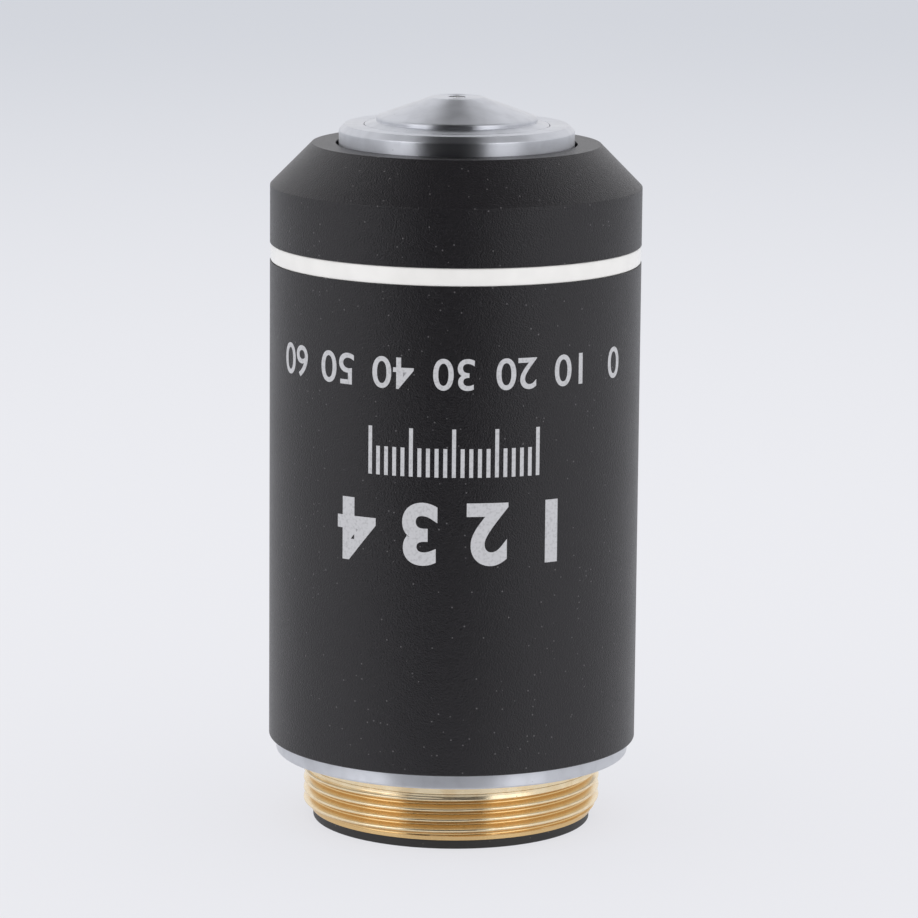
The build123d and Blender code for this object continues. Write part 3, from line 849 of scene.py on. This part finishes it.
def build_rear_ring(sizes, gap):
    """Black ring: a rim under the mount and a threaded part inside it, with two spanner slots."""
    outer_r = reach("rear_ring")
    bore_r = outer_r - sizes.ring_width
    screwed_r = reach("thread_mount") - sizes.bore_wall - gap
    top = high("rear_ring")
    rim = low("thread_mount")
    edge = sizes.edge
    corners = [
        (bore_r, 0, edge),
        (outer_r, 0, 2 * edge),
        (outer_r, rim, edge),
        (screwed_r, rim, 0),
        (screwed_r, top, edge),
        (bore_r, top, edge),
    ]
    ring = turned("foot_ring", corners)
    slot_reach = outer_r - sizes.slot_margin
    outline = box_outline(sizes.slot_width / 2, -sizes.slot_depth, sizes.slot_depth)
    return cut(ring, prism("ring_slot", outline, -slot_reach, slot_reach))


def build_sleeve(sizes, nose):
    """Black sleeve: a cup with a chamfered nose and a shallow groove for the band."""
    outer_r = reach("outer_sleeve") - sizes.coat_skin
    bore_r = reach("outer_sleeve") - sizes.wall
    nose_bore_r = reach("lens_barrel") - nose.stop_overlap
    foot, top = low("outer_sleeve"), high("outer_sleeve")
    band_low, band_top = low("colour_band"), high("colour_band")
    inner_top = high("body_tube")
    groove_r = outer_r - sizes.groove_depth
    edge = sizes.groove_edge
    corners = [
        (bore_r, foot, edge),
        (outer_r, foot, sizes.foot_edge),
        (outer_r, band_low, edge),
        (groove_r, band_low, 0),
        (groove_r, band_top, 0),
        (outer_r, band_top, edge),
        (outer_r, top - sizes.chamfer_height, sizes.shoulder_edge),
        (nose_bore_r + sizes.top_width, top, sizes.top_edge),
        (nose_bore_r, top, sizes.top_edge),
        (nose_bore_r, inner_top, edge),
        (bore_r, inner_top, edge),
    ]
    return turned("black_sleeve", corners)


def build_band(sizes):
    """White enamel in the groove. Its face is a parabola over the height, and falls off to round edges."""
    outer_r = reach("colour_band") - sizes.band_crown
    edge_r = outer_r - sizes.band_inset
    inner_r = reach("outer_sleeve") - sizes.coat_skin - sizes.groove_depth
    foot, top = low("colour_band"), high("colour_band")
    share = np.linspace(-0.8, 0.8, 9)  # places on the face, from its foot at -1 to its top at 1
    middle = (foot + top) / 2
    bulge = sizes.band_crown * (1 - share**2)
    crown = np.stack([outer_r + bulge, middle + share * (top - foot) / 2, 0 * share], axis=-1)
    below = [(inner_r, foot, 0), (edge_r, foot, sizes.band_edge)]
    above = [(edge_r, top, sizes.band_edge), (inner_r, top, 0)]
    return turned("white_band", np.vstack([below, crown, above]))


def build_tube(sizes, nose, mount):
    """Bright flange and the guide tube above it, bored for the mount, the stop ring and the guide screw."""
    flange_r = reach("body_tube")
    land_r = reach("outer_sleeve") - sizes.wall - sizes.fit_gap
    waist_r = land_r - sizes.relief
    seat_r = reach("thread_mount") + sizes.seat_gap
    spigot_bore_r = reach("thread_mount") - mount.spigot_step + sizes.fit_gap
    bore_r = reach("lens_barrel") + nose.slide_gap
    stop_bore_r = reach("stop_ring") + sizes.fit_gap
    foot, top = low("body_tube"), high("body_tube")
    flange_top = low("outer_sleeve")
    spigot_top = high("thread_mount")
    stop_face = low("stop_ring")
    edge = mount.edge
    corners = [
        (spigot_bore_r, high("parfocal_spacer"), 0),
        (seat_r, high("parfocal_spacer"), 0),
        (seat_r, foot, edge),
        (flange_r, foot, sizes.flange_edge),
        (flange_r, flange_top, edge),
        (land_r, flange_top, 0),
        (land_r, flange_top + sizes.rear_land, edge),
        (waist_r, flange_top + sizes.rear_land, edge),
        (waist_r, top - sizes.front_land, edge),
        (land_r, top - sizes.front_land, edge),
        (land_r, top, edge),
        (stop_bore_r, top, edge),
        (stop_bore_r, stop_face, 0),
        (bore_r, stop_face, edge),
        (bore_r, spigot_top, edge),
        (spigot_bore_r, spigot_top, 0),
    ]
    tube = turned("bright_tube", corners)
    screw_r, screw_z = lying("guide_screw")
    return cut(tube, bar("guide_hole", screw_r + sizes.fit_gap, screw_z, bore_r - OVERCUT, land_r + OVERCUT))


def build_stop_ring(nose, mount):
    """Ring in the front of the tube that stops the barrel, with two spanner slots."""
    outer_r = reach("stop_ring")
    bore_r = reach("lens_barrel") - nose.stop_overlap
    foot, top = low("stop_ring"), high("stop_ring")
    edge = mount.edge
    corners = [(bore_r, foot, edge), (outer_r, foot, edge), (outer_r, top, edge), (bore_r, top, edge)]
    ring = turned("nose_stop", corners)
    outline = box_outline(mount.slot_width / 2, top - mount.slot_depth, top + mount.slot_depth)
    return cut(ring, prism("stop_slot", outline, -outer_r - OVERCUT, outer_r + OVERCUT))


def build_barrel(nose, gap):
    """Sliding barrel: bright nose, two guide lands, a skirt inside the spring and the bore of the stack."""
    land_r = reach("lens_barrel")
    nose_r = land_r - nose.stop_overlap - nose.gap
    waist_r = land_r - nose.waist_relief
    rim_r = reach("front_cell")
    thread_r = rim_r - nose.thread_step
    seat_bore_r = thread_r + gap
    skirt_bore_r = reach("stack_ring") + gap
    skirt_r = skirt_bore_r + nose.skirt_wall
    stack_r = skirt_bore_r - nose.bore_step
    foot, face = low("lens_barrel"), high("lens_barrel")
    stop_face, rear_land = low("stop_ring"), high("return_spring")
    stack_low = high("stack_ring")
    seat = face - nose.seat_depth
    edge = nose.face_edge
    corners = [
        (seat_bore_r, seat, 0),
        (rim_r + nose.rim_gap, seat, 0),
        (rim_r + nose.rim_gap, face, edge),
        (nose_r - nose.bevel, face, edge),
        (nose_r, face - nose.bevel, nose.bevel_round),
        (nose_r, stop_face, 0),
        (land_r, stop_face, edge),
        (land_r, stop_face - nose.land, edge),
        (waist_r, stop_face - nose.land, edge),
        (waist_r, rear_land + nose.land, edge),
        (land_r, rear_land + nose.land, edge),
        (land_r, rear_land, edge),
        (skirt_r, rear_land, 0),
        (skirt_r, foot, edge),
        (skirt_bore_r, foot, edge),
        (skirt_bore_r, stack_low, 0),
        (stack_r, stack_low, edge),
        (stack_r, face - nose.front_wall, 0),
        (seat_bore_r, face - nose.front_wall, 0),
    ]
    barrel = turned("bright_barrel", corners)
    guide_z = lying("guide_screw")[1]
    slot = slot_outline(nose.guide_tip + nose.slot_gap, guide_z, guide_z + travel())
    cutters = [prism("guide_slot", slot, waist_r - nose.slot_depth, land_r + OVERCUT)]
    screw_r, screw_z = lying("centring_screws")
    start, end = stack_r - OVERCUT, land_r + OVERCUT
    screw_angles = (60, 180, 300)
    for angle in screw_angles:
        cutters.append(bar(f"screw_hole_{angle}", screw_r + gap, screw_z, start, end, radians(angle)))
    return cut(barrel, *cutters)


def build_cone(nose):
    """Conical front cell: flat tip round the lens, cone, rounded edge, land and sloped rim, with a cavity.

    The lens seat is an arc about the ball's centre, from the ball's widest place up to the mouth in the tip.
    """
    rim_r = reach("front_cell")
    base_r = rim_r - nose.rim_slope
    thread_r = rim_r - nose.thread_step
    foot, tip = low("front_cell"), high("front_cell")
    face = high("lens_barrel")
    cone_base = tip - nose.cone_height
    ball_r = reach("front_lens")
    ball_z = low("front_lens") + ball_r
    seat_r = ball_r + nose.ball_gap
    cavity_r = thread_r - nose.cavity_wall
    cavity_top = tip - nose.tip_wall
    mouth_r = sqrt(seat_r**2 - (tip - ball_z) ** 2)
    climb = np.linspace(0, atan2(tip - ball_z, mouth_r), 12)[1:-1]
    seat = np.stack([seat_r * np.cos(climb), ball_z + seat_r * np.sin(climb), 0 * climb], axis=-1)
    edge = nose.rim_edge
    corners = [
        (mouth_r, tip, nose.mouth_edge),
        (nose.tip_radius, tip, nose.tip_edge),
        (base_r, cone_base, nose.cone_round),
        (base_r, cone_base - nose.cone_land, nose.tip_edge),
        (rim_r, face, edge),
        (rim_r, face - nose.seat_depth, edge),
        (thread_r, face - nose.seat_depth, 0),
        (thread_r, foot, edge),
        (cavity_r, foot, edge),
        (cavity_r, cavity_top, 0),
        (nose.throat, cavity_top, 0),
        (seat_r, ball_z - nose.throat_drop, 0),
        (seat_r, ball_z, 0),
    ]
    return turned("conical_cell", np.vstack([corners, seat]), steps=8)


def build_front_lens():
    """Ball lens ground flat at the tip: a circle from the rear pole up to the flat."""
    ball_r = reach("front_lens")
    ball_z = low("front_lens") + ball_r
    flat_z = high("front_lens")
    climb = np.linspace(-pi / 2, np.arcsin((flat_z - ball_z) / ball_r), 40)
    r = ball_r * np.cos(climb)
    r[0] = 0
    ball = np.stack([r, ball_z + ball_r * np.sin(climb), 0 * climb], axis=-1)
    return turned("front_ball", np.vstack([ball, [(0, flat_z, 0)]]), segments=96)


def build_spring(spring):
    """Return spring: a circle of wire carried along a helix whose end turns are closed and ground flat.

    The wire's height grows by one wire and a gap in each closed turn, and by the open pitch between them,
    with a smooth ramp where it opens and closes.
    """
    foot, top = low("return_spring"), high("return_spring")
    wire_d = 2 * spring.wire + spring.coil_gap
    mean_r = reach("return_spring") - spring.wire
    open_turns = spring.turns - 2 * spring.closed_turns - spring.ramp_turns
    extra_pitch = (top - foot - wire_d * spring.turns) / open_turns

    def opened(turns):
        share = np.clip(turns / spring.ramp_turns, 0, 1)
        ramp = spring.ramp_turns * (share**3 - share**4 / 2)
        return ramp + np.maximum(turns - spring.ramp_turns, 0)

    steps_per_turn = 72
    turns = np.linspace(0, spring.turns, int(spring.turns * steps_per_turn) + 1)
    closing = spring.turns - spring.closed_turns - spring.ramp_turns
    opening = opened(turns - spring.closed_turns) - opened(turns - closing)
    height = foot + wire_d * turns + extra_pitch * opening
    around = full_turn(20)
    angle = 2 * pi * turns[:, None]
    slope = np.arctan(np.gradient(height, turns) / (2 * pi * mean_r))[:, None]
    thickness = np.full_like(turns, spring.wire)[:, None]
    thickness[[0, -1]] = 0
    outwards = thickness * np.cos(around)
    upwards = thickness * np.sin(around)
    r = mean_r + outwards
    forwards = -upwards * np.sin(slope)
    x = r * np.cos(angle) - forwards * np.sin(angle)
    y = r * np.sin(angle) + forwards * np.cos(angle)
    z = np.clip(height[:, None] + upwards * np.cos(slope), foot, top)
    return grid_piece("spring_wire", x, y, z, looped=False)


def lettered(text, height, weight):
    """Flat mesh of plain figures in Blender's built-in font, centred, with that height of a digit."""
    curve = bpy.data.curves.new("figures", "FONT")
    curve.body = text
    curve.align_x = "CENTER"
    curve.align_y = "CENTER"
    curve.offset = weight
    curve.extrude = 0.5
    holder = bpy.data.objects.new("figures", curve)
    mesh = bpy.data.meshes.new_from_object(holder)
    points = points_of(mesh)
    span = points[:, 1].max() - points[:, 1].min()
    middle = (points[:, 1].max() + points[:, 1].min()) / 2
    points[:, 0] *= height / span
    points[:, 1] = (points[:, 1] - middle) * height / span
    faces = [tuple(face.vertices) for face in mesh.polygons]
    bpy.data.meshes.remove(mesh)
    bpy.data.objects.remove(holder)
    bpy.data.curves.remove(curve)
    return points, faces


def tick(width, tall):
    """Closed box for one tick, hanging down from its place."""
    x, y, z = np.meshgrid([-width / 2, width / 2], [-tall, 0], [-0.5, 0.5], indexing="ij")
    faces = [(0, 1, 3, 2), (4, 6, 7, 5), (0, 4, 5, 1), (2, 3, 7, 6), (0, 2, 6, 4), (1, 5, 7, 3)]
    return np.stack([x.ravel(), y.ravel(), z.ravel()], axis=-1), faces


def build_scale(scale, sleeve):
    """Plain numbers and ticks laid out flat: sideways by the arc to their angle, upwards by their height."""
    outer_r = reach("outer_sleeve") - sleeve.coat_skin + scale.skin
    small = np.linspace(-scale.small_reach, scale.small_reach, scale.small_count)
    ticks = np.linspace(-scale.tick_reach, scale.tick_reach, scale.tick_count)
    large = np.linspace(-scale.large_reach, scale.large_reach, scale.large_count)
    marks = []
    for place, angle in enumerate(small):
        figures = lettered(str(10 * place), scale.small_height, scale.small_weight)
        marks.append((figures, angle, scale.small_place))
    for place, angle in enumerate(ticks):
        tall = scale.tick_short if place % scale.long_every else scale.tick_long
        marks.append((tick(scale.tick_width, tall), angle, scale.tick_place - scale.tick_long))
    for place, angle in enumerate(large):
        figures = lettered(str(place + 1), scale.large_height, scale.large_weight)
        marks.append((figures, angle, scale.large_place))
    vertices, faces = [], []
    for (points, own_faces), angle, height in marks:
        start = sum(len(block) for block in vertices)
        flat = points.copy()
        flat[:, 0] = angle * outer_r + flat[:, 0]
        flat[:, 1] = flat[:, 1] - height
        vertices.append(flat)
        faces.extend([tuple(start + corner for corner in face) for face in own_faces])
    return bent_piece("scale_print", np.vstack(vertices), faces, outer_r, scale)


def bent_piece(name, points, faces, outer_r, scale):
    """Flat figures cut into narrow strips and bent round the sleeve.

    A flat x becomes the angle x / radius, a flat y the height and the flat thickness the radius. They are
    upright for a reader who has the thread end on top.
    """
    mesh = bpy.data.meshes.new(name)
    mesh.from_pydata(points, [], faces)
    with edited(mesh) as shell:
        bmesh.ops.remove_doubles(shell, verts=shell.verts, dist=1e-7)
        for x in np.arange(points[:, 0].min(), points[:, 0].max(), scale.patch):
            everything = shell.verts[:] + shell.edges[:] + shell.faces[:]
            bmesh.ops.bisect_plane(shell, geom=everything, plane_co=(x, 0, 0), plane_no=(1, 0, 0), dist=1e-7)
    x, y, thickness = points_of(mesh).T
    angle = -pi / 2 - x / outer_r
    r = outer_r - scale.skin * (1 - 2 * thickness)
    bent = np.stack([r * np.cos(angle), r * np.sin(angle), -y], axis=-1)
    mesh.vertices.foreach_set("co", bent.astype(np.float32).ravel())
    with edited(mesh) as shell:
        bmesh.ops.recalc_face_normals(shell, faces=shell.faces)
    mesh.update()
    smooth(mesh)
    return placed(name, mesh)


# Studio

STRIP_FOOT = (0.54, 0.60)  # sines of the elevations between which the strip over the back rises
STRIP_TOP = (0.68, 0.73)  # between which the strip falls
STRIP_SIDE = (0.94, 0.99)  # cosines of the angles from the middle of the back between which it rises
PANEL_TOP = (0.72, 0.86)  # sines between which the side panels end
CEILING_FOOT = (0.68, 0.88)  # sines between which the ceiling takes over
ROOM_EDGE = 0.03  # softness of the dark room's edge, as a cosine
PANEL_EDGE = 0.10  # softness of the side panels' outer edge, as a cosine
AXIS = 1e-4  # keeps a division from failing on the axis


def front_facing(x, y, studio):
    """Cosine of the angle between a level direction and the middle of the dark room."""
    return (x * sin(studio.dark_centre) - y * cos(studio.dark_centre)) / (radius_of(x, y) + AXIS)


def dark_room(shader, x, y, studio):
    """Mask of the directions in which the dark room lies."""
    edge = cos(studio.dark_half)
    return shader.rise(front_facing(x, y, studio), edge - ROOM_EDGE, edge + ROOM_EDGE)


def floor_finish(studio):
    """Pale floor with a painted falloff of light: its colour darkens with distance. Its reflection is also dark in
    front, like the room there.
    """
    material = bpy.data.materials.new("studio_floor")
    shader = Shader(material)
    x, y, _ = shader.split(shader.place())
    distance = radius_of(x, y)
    # Painted light: the floor is painted darker with distance, standing in for the falloff of the light
    painted_falloff = shader.rise(distance, studio.fade_from, studio.fade_to)
    pale = shader.mix(painted_falloff, studio.floor_near, studio.floor_far)
    room = dark_room(shader, x, y, studio) * shader.rise(distance, studio.room_from, studio.room_to)
    glossy = shader.ray("Glossy")
    shade = shader.mix(room * glossy, pale, grey(studio.dark))
    matt = shader.node("BsdfDiffuse", inputs={"Color": shade})
    glow = shader.node("Emission", inputs={"Color": shade, "Strength": 1.0})
    share = (shader.ray("Camera") + glossy) * studio.floor_glow
    both = shader.node("MixShader", inputs={0: share, 1: matt, 2: glow})
    shader.node("OutputMaterial", inputs={"Surface": both})
    return material


def build_floor(studio):
    """Round flat floor under the objective."""
    angle = full_turn(64)
    rim = np.stack([np.cos(angle), np.sin(angle), 0 * angle], axis=-1) * studio.floor_size
    mesh = bpy.data.meshes.new("studio_floor")
    mesh.from_pydata(rim, [], [list(range(len(rim)))])
    mesh.materials.append(floor_finish(studio))
    placed("studio_floor", mesh)


def build_world(studio):
    """Studio light, even on matt surfaces.

    Reflections show two tall panels beside a dark room in front, a paler surround, a bright strip over the
    back and a dim ceiling.
    """
    world = bpy.data.worlds.new("studio")
    bpy.context.scene.world = world
    world.cycles.sampling_method = "NONE"
    shader = Shader(world)
    x, y, z = shader.split(shader.node("TexCoord", output="Generated"))
    outer = cos(studio.dark_half + studio.panel_width)
    panel = shader.rise(front_facing(x, y, studio), outer - PANEL_EDGE, outer + PANEL_EDGE)
    panel = panel * (1 - shader.rise(z, *PANEL_TOP))
    strip = shader.rise(z, *STRIP_FOOT) * (1 - shader.rise(z, *STRIP_TOP))
    strip = strip * shader.rise(y / (radius_of(x, y) + AXIS), *STRIP_SIDE)
    around = studio.surround + strip * (studio.panel - studio.surround)
    around = around + shader.rise(z, *CEILING_FOOT) * (studio.ceiling - around)
    around = around + panel * (studio.panel - around)
    around = around + dark_room(shader, x, y, studio) * (studio.dark - around)
    reflected = shader.node("CombineXYZ", inputs={0: around, 1: around, 2: around * studio.coolness})
    mirrored = shader.rise(shader.ray("Glossy") + shader.ray("Transmission"), 0.1, 0.9)
    shown = shader.mix(mirrored, grey(studio.ambient), reflected)
    shown = shader.mix(shader.ray("Camera"), shown, studio.floor_far)
    background = shader.node("Background", inputs={"Color": shown, "Strength": 1.0})
    shader.node("OutputWorld", inputs={"Surface": background})


def build_camera(studio):
    """Camera at the photograph's place, from its pitch, yaw and roll."""
    pitch, yaw, roll = studio.camera_pitch, studio.camera_yaw, studio.camera_roll
    forward = Vector((sin(yaw) * cos(pitch), cos(yaw) * cos(pitch), -sin(pitch)))
    level = Vector((cos(yaw), -sin(yaw), 0))
    rise = level.cross(forward)
    right = cos(roll) * level + sin(roll) * rise
    up = cos(roll) * rise - sin(roll) * level
    lens = bpy.data.cameras.new("camera")
    lens.sensor_width = SENSOR
    lens.lens = studio.focal_length
    lens.clip_start = 0.01
    lens.clip_end = 20
    camera = placed("camera", lens)
    turned_so = Matrix((right, up, -forward)).transposed().to_4x4()
    camera.matrix_world = Matrix.Translation((0, -studio.camera_distance, studio.camera_height)) @ turned_so
    bpy.context.scene.camera = camera


# Operators, panel and registration


class OBJECTIVE_OT_stage(bpy.types.Operator):
    """Makes the floor, the light and the camera"""

    bl_idname = "objective.stage"
    bl_label = "Stage"

    def execute(self, context):
        studio = context.scene.objective_studio
        build_floor(studio)
        build_world(studio)
        build_camera(studio)
        context.scene.view_settings.view_transform = "Standard"
        return {"FINISHED"}


class OBJECTIVE_OT_mount(bpy.types.Operator):
    """Makes the brass mount with its thread, the spacer and the black ring"""

    bl_idname = "objective.mount"
    bl_label = "Mount"

    def execute(self, context):
        sizes = context.scene.objective_mount
        gap = context.scene.objective_sleeve.fit_gap
        dress(build_mount(sizes), "housing", "brass", "thread_mount")
        dress(build_spacer(sizes), "housing", "brass", "parfocal_spacer")
        dress(build_rear_ring(sizes, gap), "housing", "black_ring", "rear_ring")
        return {"FINISHED"}


class OBJECTIVE_OT_sleeve(bpy.types.Operator):
    """Makes the black sleeve and the white enamel in its groove"""

    bl_idname = "objective.sleeve"
    bl_label = "Sleeve and band"

    def execute(self, context):
        sizes = context.scene.objective_sleeve
        nose = context.scene.objective_nose
        dress(build_sleeve(sizes, nose), "housing", "black_coat", "outer_sleeve")
        dress(build_band(sizes), "housing", "white_enamel", "colour_band")
        return {"FINISHED"}


class OBJECTIVE_OT_tube(bpy.types.Operator):
    """Makes the flange with its guide tube, and the ring that stops the barrel"""

    bl_idname = "objective.tube"
    bl_label = "Flange and tube"

    def execute(self, context):
        sizes = context.scene.objective_sleeve
        nose = context.scene.objective_nose
        mount = context.scene.objective_mount
        dress(build_tube(sizes, nose, mount), "housing", "satin_chrome", "body_tube")
        dress(build_stop_ring(nose, mount), "housing", "blackened_metal", "stop_ring")
        return {"FINISHED"}


class OBJECTIVE_OT_nose(bpy.types.Operator):
    """Makes the sliding barrel, the conical cell and the front lens"""

    bl_idname = "objective.nose"
    bl_label = "Nose"

    def execute(self, context):
        nose = context.scene.objective_nose
        gap = context.scene.objective_sleeve.fit_gap
        dress(build_barrel(nose, gap), "lens_unit", "satin_chrome", "lens_barrel")
        dress(build_cone(nose), "lens_unit", "satin_chrome", "front_cell")
        dress(build_front_lens(), "lens_unit", "crown_glass", "front_lens")
        return {"FINISHED"}


class OBJECTIVE_OT_spring(bpy.types.Operator):
    """Makes the return spring, which in the real objective shortens as the nose is pushed in"""

    bl_idname = "objective.spring"
    bl_label = "Return spring"

    def execute(self, context):
        sizes = context.scene.objective_spring
        spring = dress(build_spring(sizes), "housing", "spring_steel", "return_spring")
        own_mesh(spring)
        return {"FINISHED"}


class OBJECTIVE_OT_scale(bpy.types.Operator):
    """Prints plain numbers and ticks on the sleeve"""

    bl_idname = "objective.scale"
    bl_label = "Printed scale"

    def execute(self, context):
        scale = context.scene.objective_scale
        sleeve = context.scene.objective_sleeve
        dress(build_scale(scale, sleeve), "housing", "print")
        return {"FINISHED"}


class OBJECTIVE_OT_lens_stack(bpy.types.Operator):
    """Finishes the pieces inside, which keep their own meshes"""

    bl_idname = "objective.lens_stack"
    bl_label = "Lens stack"

    def execute(self, context):
        for part in frame["record"]["subparts"]:
            node = frame["nodes"][part["node"]]
            if not node.hide_render:
                node.data.materials.clear()
                node.data.materials.append(finish(part["material_slot"]))
        return {"FINISHED"}


STEPS = (
    OBJECTIVE_OT_stage,
    OBJECTIVE_OT_mount,
    OBJECTIVE_OT_sleeve,
    OBJECTIVE_OT_tube,
    OBJECTIVE_OT_nose,
    OBJECTIVE_OT_spring,
    OBJECTIVE_OT_scale,
    OBJECTIVE_OT_lens_stack,
)


class OBJECTIVE_PT_panel(bpy.types.Panel):
    """Sidebar panel that lists the steps and the sizes"""

    bl_idname = "OBJECTIVE_PT_panel"
    bl_label = "Objective"
    bl_space_type = "VIEW_3D"
    bl_region_type = "UI"
    bl_category = "Objective"

    def draw(self, context):
        for step in STEPS:
            self.layout.operator(step.bl_idname)
        for group in GROUPS:
            sizes = getattr(context.scene, group)
            box = self.layout.box()
            for name in sizes.bl_rna.properties.keys():
                if name not in ("rna_type", "name"):
                    box.prop(sizes, name)


def register():
    """Registers the classes and hangs the sizes on the scene."""
    for group in GROUPS.values():
        bpy.utils.register_class(group)
    for step in STEPS:
        bpy.utils.register_class(step)
    bpy.utils.register_class(OBJECTIVE_PT_panel)
    for name, group in GROUPS.items():
        setattr(bpy.types.Scene, name, bpy.props.PointerProperty(type=group))


def unregister():
    """Takes back what register did."""
    for name in GROUPS:
        delattr(bpy.types.Scene, name)
    bpy.utils.unregister_class(OBJECTIVE_PT_panel)
    for step in reversed(STEPS):
        bpy.utils.unregister_class(step)
    for group in reversed(GROUPS.values()):
        bpy.utils.unregister_class(group)


def main():
    register()
    for step in STEPS:
        getattr(bpy.ops.objective, step.bl_idname.split(".")[1])()


if __name__ == "__main__":
    main()
